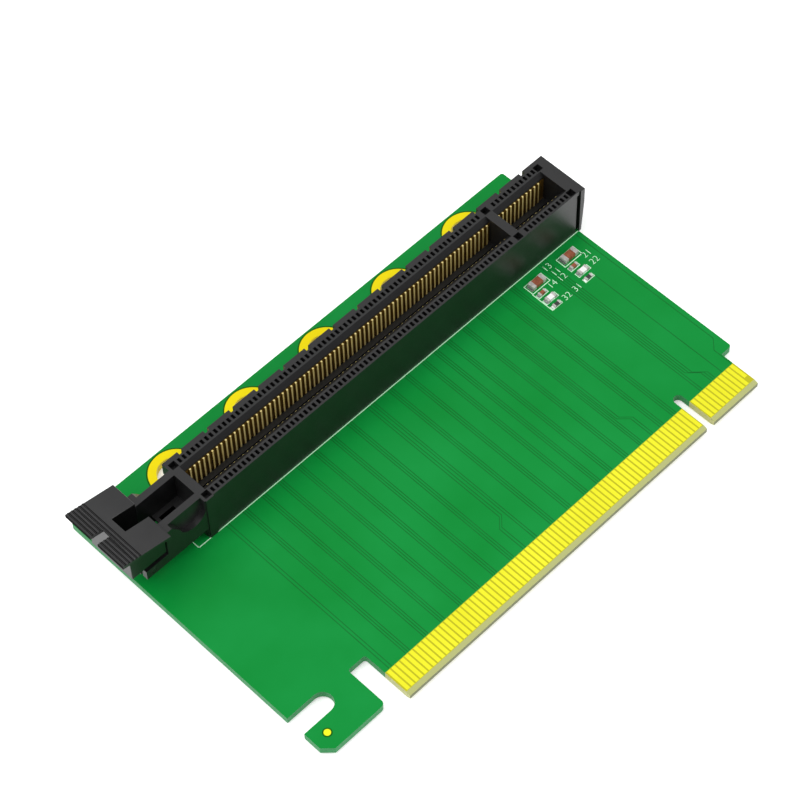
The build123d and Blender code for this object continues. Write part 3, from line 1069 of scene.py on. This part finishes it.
@dataclass(frozen=True)
class LeadIn:
    """The sloping lead-in round the card slots, in millimetres."""

    tilt: float = 0.3
    floor: float = 10.2
    half_width: float = 3.2
    left: float = -74.0

    def holds(self, face: bpy.types.MeshPolygon) -> bool:
        """Tells the sloping faces beside the slots.

        Args:
            face: a face of the housing.

        Returns:
            True if it is one of them.
        """
        x, y, z = (value / MM for value in face.center)
        sloping = abs(face.normal.y) > self.tilt and face.normal.z > self.tilt
        near = abs(y - HOUSING.slot_middle_mm) < self.half_width and x > self.left
        return sloping and near and z > self.floor


@dataclass
class SoftenedCopy:
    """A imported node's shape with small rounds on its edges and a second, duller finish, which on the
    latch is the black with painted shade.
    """

    node: str
    name: str
    slot: str
    body: str
    dull_finish: Finish
    dull_faces: LatchHollows | LeadIn
    radius: float = 0.06
    segments: int = 1
    angle: float = 28.0
    smooth: float = 20.0
    merge: float = 0.002
    flat: float = 1.0

    def build(self, finish: AnyFinish) -> bpy.types.Object:
        """Copies the node, merges its faces and rounds its edges.

        Args:
            finish: the finish of the copy.

        Returns:
            The finished piece.
        """
        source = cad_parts[self.node]
        piece = bpy.data.objects.new(self.name, source.data.copy())
        piece.matrix_world = source.matrix_world.copy()
        bpy.context.collection.objects.link(piece)
        select_only(piece)
        bpy.ops.object.mode_set(mode="EDIT")
        bpy.ops.mesh.select_all(action="SELECT")
        bpy.ops.mesh.remove_doubles(threshold=self.merge * MM)
        bpy.ops.mesh.dissolve_limited(angle_limit=math.radians(self.flat))
        bpy.ops.mesh.normals_make_consistent(inside=False)
        bpy.ops.object.mode_set(mode="OBJECT")
        rounding = piece.modifiers.new("rounding", "BEVEL")
        rounding.width = self.radius * MM
        rounding.segments = self.segments
        rounding.limit_method = "ANGLE"
        rounding.angle_limit = math.radians(self.angle)
        rounding.use_clamp_overlap = True
        bpy.ops.object.modifier_apply(modifier=rounding.name)
        bpy.ops.object.shade_smooth_by_angle(angle=math.radians(self.smooth))
        settle(piece, self.name, finish, self.body)
        # on the latch, the second finish is the black with painted shade
        piece.data.materials.append(self.dull_finish.material())
        for face in piece.data.polygons:
            if self.dull_faces.holds(face):
                face.material_index = 1
        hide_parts(self.node)
        return piece


@dataclass
class PocketFloor:
    """Thin floor with a sunk window between the arms of the fork, in millimetres; the window's sunk faces
    are black with painted shade.
    """

    left: float = -80.3
    right: float = -74.55
    low: float = 46.72
    high: float = 51.78
    top: float = 5.08
    thickness: float = 0.4
    window: Box = (-79.65, 47.75, -76.45, 50.75)
    window_rim: float = 0.5
    recess_depth: float = 1.6
    shade_below: float = 0.01
    base_left: float = -84.0
    base_top: float = 0.4
    base_rim: float = 0.3
    base_dip: float = 0.15

    def base(self) -> bpy.types.Object:
        """A black sheet of painted shade that closes the pocket where it meets the board.

        Returns:
            The finished piece.
        """
        piece = plate((self.base_left, self.low, self.right, self.high), 0.0)
        bpy.ops.object.mode_set(mode="EDIT")
        bpy.ops.mesh.select_all(action="SELECT")
        bpy.ops.mesh.extrude_region_move(TRANSFORM_OT_translate={"value": (0, 0, self.base_top * MM)})
        bpy.ops.mesh.inset(thickness=self.base_rim * MM)
        bpy.ops.transform.translate(value=(0, 0, -self.base_dip * MM))
        bpy.ops.mesh.select_all(action="SELECT")
        bpy.ops.mesh.normals_make_consistent(inside=False)
        bpy.ops.object.mode_set(mode="OBJECT")
        return settle(piece, "hook_pocket_shade_sheet", SHADE_BLACK, "card")

    def build(self) -> bpy.types.Object:
        """Models the floor from a plane, sinks its window and thickens it.

        Returns:
            The finished piece.
        """
        piece = plate((self.left, self.low, self.right, self.high), self.top * MM)
        bpy.ops.object.mode_set(mode="EDIT")
        bpy.ops.mesh.select_all(action="SELECT")
        bpy.ops.mesh.inset(thickness=self.window_rim * MM)
        left, low, right, high = self.window
        wide = self.right - self.left - 2 * self.window_rim
        deep = self.high - self.low - 2 * self.window_rim
        bpy.ops.transform.resize(value=((right - left) / wide, (high - low) / deep, 1))
        shift_x = (left + right - self.left - self.right) / 2 * MM
        shift_y = (low + high - self.low - self.high) / 2 * MM
        bpy.ops.transform.translate(value=(shift_x, shift_y, 0))
        sink = (0, 0, -self.recess_depth * MM)
        bpy.ops.mesh.extrude_region_move(TRANSFORM_OT_translate={"value": sink})
        bpy.ops.object.mode_set(mode="OBJECT")
        thickened(piece, self.thickness * MM, offset=-1.0)
        settle(piece, "hook_pocket_floor", HOUSING, "card")
        piece.data.materials.append(SHADE_BLACK.material())
        # painted shade: faces below the top, in the sunk window, get the black
        for face in piece.data.polygons:
            if face.center.z < (self.top - self.shade_below) * MM:
                face.material_index = 1
        return piece


@dataclass
class Studio:
    """Pale floor, soft lights, a white surround and the camera.

    The camera turns by its right, up and back directions. A light is a name, a place, a side
    and a power, in metres and watts.
    """

    camera_mm: Triple = (-212.80, -150.82, 388.91)
    focal_mm: float = 123.6
    sensor_mm: float = 36.0
    clip: Span = (0.01, 20.0)
    right: Triple = (0.707545, -0.70632, -0.022191)
    up: Triple = (0.594169, 0.577612, 0.559757)
    back: Triple = (-0.382549, -0.409238, 0.82836)
    surround: float = 0.62
    floor_size: float = 4.0
    floor_dark: Colour = (0.86, 0.86, 0.86)
    floor_light: Colour = (0.88, 0.88, 0.88)
    floor_speck: float = 40.0
    floor_roughness: float = 0.9
    floor_glow: float = 0.45
    aim: Triple = (-0.04, 0.03, 0.0)
    lights: tuple[tuple[str, Triple, float, float], ...] = (
        ("key", (-0.5, 0.1, 0.9), 0.6, 5.5),
        ("fill", (0.6, -0.6, 0.7), 0.7, 3.0),
    )

    def floor(self) -> None:
        """Adds the floor under the lowest point of the card."""
        nothing_selected()
        low = CAD_BOX[0][2]
        bpy.ops.mesh.primitive_plane_add(size=self.floor_size, location=(0, 0, low))
        plane = bpy.context.object
        plane.name = "floor"
        graph = Graph("floor_white")
        speck = graph.noise(self.floor_speck, GRAIN_DETAIL)
        colour = graph.blend(graph.spread(speck, 0.0, 1.0), self.floor_dark, self.floor_light)
        graph.feed(graph.shader.inputs["Base Color"], colour)
        graph.shader.inputs["Roughness"].default_value = self.floor_roughness
        graph.shader.inputs["Specular IOR Level"].default_value = 0.0
        path = graph.nodes.new("ShaderNodeLightPath")
        seen = graph.math("MAXIMUM", path.outputs["Is Camera Ray"], path.outputs["Is Glossy Ray"])
        graph.shader.inputs["Emission Color"].default_value = (1, 1, 1, 1)
        glow = graph.math("MULTIPLY", seen, self.floor_glow)
        graph.feed(graph.shader.inputs["Emission Strength"], glow)
        plane.data.materials.append(graph.material)

    def world(self) -> None:
        """Makes the surround white to the camera and softer as a light."""
        world = bpy.data.worlds.new("surround")
        bpy.context.scene.world = world
        world.use_nodes = True
        tree = world.node_tree
        tree.nodes.clear()
        path = tree.nodes.new("ShaderNodeLightPath")
        seen = tree.nodes.new("ShaderNodeMath")
        seen.operation = "MAXIMUM"
        tree.links.new(path.outputs["Is Camera Ray"], seen.inputs[0])
        tree.links.new(path.outputs["Is Glossy Ray"], seen.inputs[1])
        mix = tree.nodes.new("ShaderNodeMixShader")
        tree.links.new(seen.outputs[0], mix.inputs[0])
        for socket, strength in ((1, self.surround), (2, 1.0)):
            white = tree.nodes.new("ShaderNodeBackground")
            white.inputs["Color"].default_value = (1, 1, 1, 1)
            white.inputs["Strength"].default_value = strength
            tree.links.new(white.outputs[0], mix.inputs[socket])
        output = tree.nodes.new("ShaderNodeOutputWorld")
        tree.links.new(mix.outputs[0], output.inputs["Surface"])

    def light(self, name: str, place: Triple, size: float, power: float) -> None:
        """Adds a soft square light that looks at the card.

        Args:
            name: the light's name.
            place: where it hangs, in metres.
            size: its side in metres.
            power: its power in watts.
        """
        data = bpy.data.lights.new(name, "AREA")
        data.shape = "SQUARE"
        data.size = size
        data.energy = power
        light = bpy.data.objects.new(name, data)
        bpy.context.collection.objects.link(light)
        light.location = place
        towards = Vector(self.aim) - Vector(place)
        light.rotation_euler = towards.to_track_quat("-Z", "Y").to_euler()

    def camera(self) -> None:
        """Adds the camera at the picture's place and turn."""
        data = bpy.data.cameras.new("camera")
        data.lens = self.focal_mm
        data.sensor_width = self.sensor_mm
        data.sensor_fit = "HORIZONTAL"
        data.clip_start, data.clip_end = self.clip
        camera = bpy.data.objects.new("camera", data)
        bpy.context.collection.objects.link(camera)
        matrix = Matrix((self.right, self.up, self.back)).transposed().to_4x4()
        matrix.translation = Vector(self.camera_mm) * MM
        camera.matrix_world = matrix
        bpy.context.scene.camera = camera

    def build(self) -> None:
        """Sets up the whole studio."""
        bpy.context.scene.view_settings.view_transform = "Standard"
        self.world()
        self.floor()
        for name, place, size, power in self.lights:
            self.light(name, place, size, power)
        self.camera()


def dress_nodes() -> None:
    """Gives every carried-over node its detailed material."""
    made: dict[str, bpy.types.Material] = {}
    for node, finish in NODE_FINISHES.items():
        if finish.name not in made:
            made[finish.name] = finish.material()
        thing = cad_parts[node]
        for slot in thing.material_slots:
            slot.material = made[finish.name]
        LOG.info("dressed %s", node)


def main() -> None:
    """Builds the studio and every added piece in order."""
    logging.basicConfig(level=logging.INFO, format="%(name)s: %(message)s")
    Studio().build()
    dress_nodes()
    tracks = CopperTracks()
    tracks.build(Side.COMPONENT)
    tracks.build(Side.SOLDER)
    PrintedLines().build()
    joints = SolderJoints()
    for node in ("outer_solder_joints", "inner_solder_joints"):
        joints.build(node)
    latch = ("retention_latch", "latch_moulding", "latch_plastic", "latch")
    SoftenedCopy(*latch, SHADE_BLACK, LatchHollows()).build(LATCH)
    housing = ("slot_housing", "housing_moulding", "housing_plastic", "card")
    SoftenedCopy(*housing, LEAD_IN, LeadIn()).build(HOUSING)
    pocket = PocketFloor()
    pocket.build()
    pocket.base()


if __name__ == "__main__":
    main()
